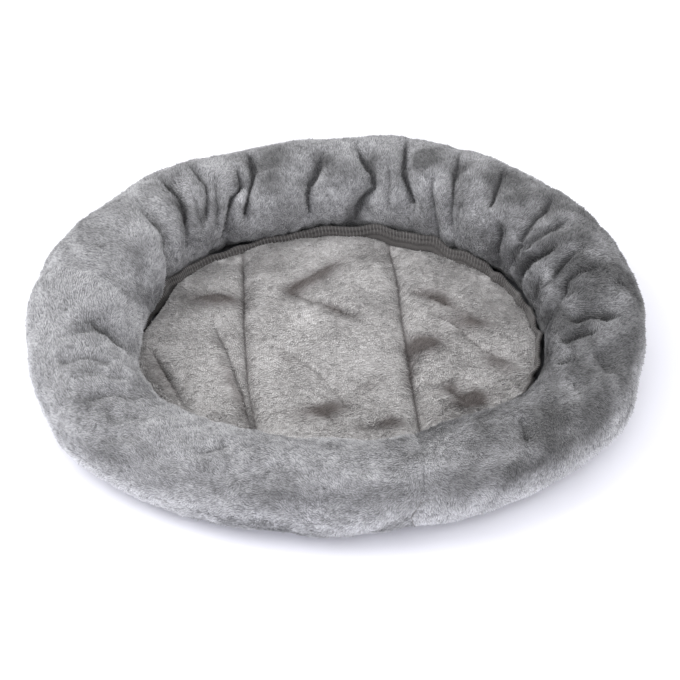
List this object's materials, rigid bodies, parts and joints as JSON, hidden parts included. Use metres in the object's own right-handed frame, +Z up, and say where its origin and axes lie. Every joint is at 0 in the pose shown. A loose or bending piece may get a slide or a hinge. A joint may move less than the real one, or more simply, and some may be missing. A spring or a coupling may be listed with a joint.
{
  "type": "pet cushion bed",
  "caption": "Low oval plush pet bed: a stuffed bolster ring runs round a flat quilted base that is sewn into it, over a cloth underside.",
  "frame": {"origin": "on the floor, at the middle of the bed's footprint", "axes": "+X along the long side of the oval, +Y to the back of the bed, +Z up"},
  "size_m": [0.6, 0.5299, 0.088],
  "materials": {
    "gray_plush": "brushed polyester plush, matte",
    "taupe_plush": "brushed polyester plush, matte",
    "fibre_filling": "loose polyester fibre",
    "underside_cloth": "plain woven polyester",
    "gray_thread": "spun polyester thread"
  },
  "bodies": {
    "root": {"bolster_cover_front": "gray_plush", "bolster_cover_back": "gray_plush", "bolster_filling": "fibre_filling", "cover_seam_thread_left": "gray_thread", "cover_seam_thread_front": "gray_thread", "base_top_cover": "taupe_plush", "base_filling_left": "fibre_filling", "base_filling_centre": "fibre_filling", "base_filling_right": "fibre_filling", "base_underside": "underside_cloth", "underside_seam_thread": "gray_thread", "quilt_stitching_left": "gray_thread", "quilt_stitching_right": "gray_thread", "seam_allowance": "gray_plush", "overlock_stitching": "gray_thread"}
  },
  "joints": []
}
